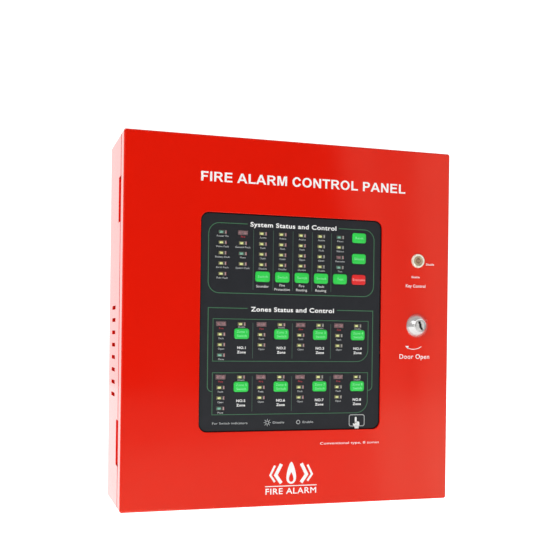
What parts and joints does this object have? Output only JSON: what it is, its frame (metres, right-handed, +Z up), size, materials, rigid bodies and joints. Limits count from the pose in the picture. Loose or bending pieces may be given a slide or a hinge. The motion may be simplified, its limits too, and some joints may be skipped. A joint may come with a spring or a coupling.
{
  "type": "fire alarm control panel",
  "caption": "Wall-mounted red steel cabinet with a hinged, locked tray door that carries a dark display facia with push keys, indicator lights, a key switch and a cam lock.",
  "frame": {"origin": "centre of the four wall fixing holes, on the back face of the cabinet, which lies against the wall", "axes": "+Z up, +Y into the wall, +X to the right as seen from the front"},
  "size_m": [0.36, 0.108, 0.3833],
  "materials": {
    "red_paint": "gloss powder coat",
    "black_rubber": "matt",
    "zinc_steel": "zinc plated",
    "circuit_board": "solder mask",
    "terminal_green": "moulded",
    "relay_blue": "moulded",
    "capacitor_sleeve": "shrink sleeve",
    "fuse_metal": "nickel plated",
    "black_plastic": "moulded",
    "battery_case": "moulded",
    "brass": "plain",
    "facia": "fine satin",
    "white_nylon": "moulded",
    "led_red": "unlit lens",
    "led_yellow": "unlit lens",
    "led_green": "unlit lens",
    "key_green": "domed polyester",
    "key_red": "domed polyester",
    "chrome": "polished",
    "lock_plug_metal": "satin"
  },
  "bodies": {
    "cabinet": {"cabinet_shell": "red_paint", "cable_grommets": "black_rubber", "hinge_frame_leaves": "red_paint", "hinge_pins": "zinc_steel", "main_board": "circuit_board", "board_standoffs": "zinc_steel", "cabinet_screws": "zinc_steel", "terminal_blocks": "terminal_green", "relays": "relay_blue", "capacitors": "capacitor_sleeve", "fuses": "fuse_metal", "board_chips": "black_plastic", "power_supply_case": "zinc_steel", "power_supply_terminals": "black_plastic", "battery_left": "battery_case", "battery_right": "battery_case", "battery_terminals": "brass", "battery_strap": "zinc_steel", "earth_stud": "brass"},
    "door": {"door_panel": "red_paint", "hinge_door_leaves": "red_paint", "facia_gasket": "black_rubber", "facia_plate": "facia", "display_board": "circuit_board", "display_studs": "zinc_steel", "display_spacers": "white_nylon", "display_nuts": "zinc_steel", "leds_red": "led_red", "leds_yellow": "led_yellow", "leds_green": "led_green", "tact_switches": "black_plastic", "display_chips": "black_plastic", "ribbon_header": "black_plastic", "buzzer": "black_plastic", "key_switch_body": "chrome", "key_switch_nut": "zinc_steel", "key_switch_contacts": "black_plastic", "door_lock_body": "chrome", "door_lock_nut": "zinc_steel"},
    "lock_rotor": {"door_lock_plug": "lock_plug_metal", "door_lock_cam": "zinc_steel", "cam_screw": "zinc_steel"},
    "switch_rotor": {"key_switch_rotor": "lock_plug_metal"},
    "key_sounder": {"key_sounder": "key_green"},
    "key_fire_protection": {"key_fire_protection": "key_green"},
    "key_fire_routing": {"key_fire_routing": "key_green"},
    "key_fault_routing": {"key_fault_routing": "key_green"},
    "key_test": {"key_test": "key_green"},
    "key_reset": {"key_reset": "key_green"},
    "key_silence": {"key_silence": "key_green"},
    "key_evacuate": {"key_evacuate": "key_red"},
    "key_zone_1": {"key_zone_1": "key_green"},
    "key_zone_2": {"key_zone_2": "key_green"},
    "key_zone_3": {"key_zone_3": "key_green"},
    "key_zone_4": {"key_zone_4": "key_green"},
    "key_zone_5": {"key_zone_5": "key_green"},
    "key_zone_6": {"key_zone_6": "key_green"},
    "key_zone_7": {"key_zone_7": "key_green"},
    "key_zone_8": {"key_zone_8": "key_green"}
  },
  "joints": [
    {"name": "door_hinge", "type": "hinge", "parent": "cabinet", "child": "door", "pos_m": [-0.1776, -0.0816, 0], "axis": [0, 0, -1], "range_deg": [0, 100]},
    {"name": "door_lock_turn", "type": "hinge", "parent": "door", "child": "lock_rotor", "pos_m": [0.142, -0.1, 0], "axis": [0, -1, 0], "range_deg": [0, 90]},
    {"name": "key_switch_turn", "type": "hinge", "parent": "door", "child": "switch_rotor", "pos_m": [0.142, -0.1, 0.0709], "axis": [0, -1, 0], "range_deg": [0, 90]},
    {"name": "key_sounder_press", "type": "slide", "parent": "door", "child": "key_sounder", "axis": [0, 1, 0], "range_m": [0, 0.0004], "stiffness_N_per_m": 800, "springref_m": -0.0005},
    {"name": "key_fire_protection_press", "type": "slide", "parent": "door", "child": "key_fire_protection", "axis": [0, 1, 0], "range_m": [0, 0.0004], "stiffness_N_per_m": 800, "springref_m": -0.0005},
    {"name": "key_fire_routing_press", "type": "slide", "parent": "door", "child": "key_fire_routing", "axis": [0, 1, 0], "range_m": [0, 0.0004], "stiffness_N_per_m": 800, "springref_m": -0.0005},
    {"name": "key_fault_routing_press", "type": "slide", "parent": "door", "child": "key_fault_routing", "axis": [0, 1, 0], "range_m": [0, 0.0004], "stiffness_N_per_m": 800, "springref_m": -0.0005},
    {"name": "key_test_press", "type": "slide", "parent": "door", "child": "key_test", "axis": [0, 1, 0], "range_m": [0, 0.0004], "stiffness_N_per_m": 800, "springref_m": -0.0005},
    {"name": "key_reset_press", "type": "slide", "parent": "door", "child": "key_reset", "axis": [0, 1, 0], "range_m": [0, 0.0004], "stiffness_N_per_m": 800, "springref_m": -0.0005},
    {"name": "key_silence_press", "type": "slide", "parent": "door", "child": "key_silence", "axis": [0, 1, 0], "range_m": [0, 0.0004], "stiffness_N_per_m": 800, "springref_m": -0.0005},
    {"name": "key_evacuate_press", "type": "slide", "parent": "door", "child": "key_evacuate", "axis": [0, 1, 0], "range_m": [0, 0.0004], "stiffness_N_per_m": 800, "springref_m": -0.0005},
    {"name": "key_zone_1_press", "type": "slide", "parent": "door", "child": "key_zone_1", "axis": [0, 1, 0], "range_m": [0, 0.0004], "stiffness_N_per_m": 800, "springref_m": -0.0005},
    {"name": "key_zone_2_press", "type": "slide", "parent": "door", "child": "key_zone_2", "axis": [0, 1, 0], "range_m": [0, 0.0004], "stiffness_N_per_m": 800, "springref_m": -0.0005},
    {"name": "key_zone_3_press", "type": "slide", "parent": "door", "child": "key_zone_3", "axis": [0, 1, 0], "range_m": [0, 0.0004], "stiffness_N_per_m": 800, "springref_m": -0.0005},
    {"name": "key_zone_4_press", "type": "slide", "parent": "door", "child": "key_zone_4", "axis": [0, 1, 0], "range_m": [0, 0.0004], "stiffness_N_per_m": 800, "springref_m": -0.0005},
    {"name": "key_zone_5_press", "type": "slide", "parent": "door", "child": "key_zone_5", "axis": [0, 1, 0], "range_m": [0, 0.0004], "stiffness_N_per_m": 800, "springref_m": -0.0005},
    {"name": "key_zone_6_press", "type": "slide", "parent": "door", "child": "key_zone_6", "axis": [0, 1, 0], "range_m": [0, 0.0004], "stiffness_N_per_m": 800, "springref_m": -0.0005},
    {"name": "key_zone_7_press", "type": "slide", "parent": "door", "child": "key_zone_7", "axis": [0, 1, 0], "range_m": [0, 0.0004], "stiffness_N_per_m": 800, "springref_m": -0.0005},
    {"name": "key_zone_8_press", "type": "slide", "parent": "door", "child": "key_zone_8", "axis": [0, 1, 0], "range_m": [0, 0.0004], "stiffness_N_per_m": 800, "springref_m": -0.0005}
  ]
}
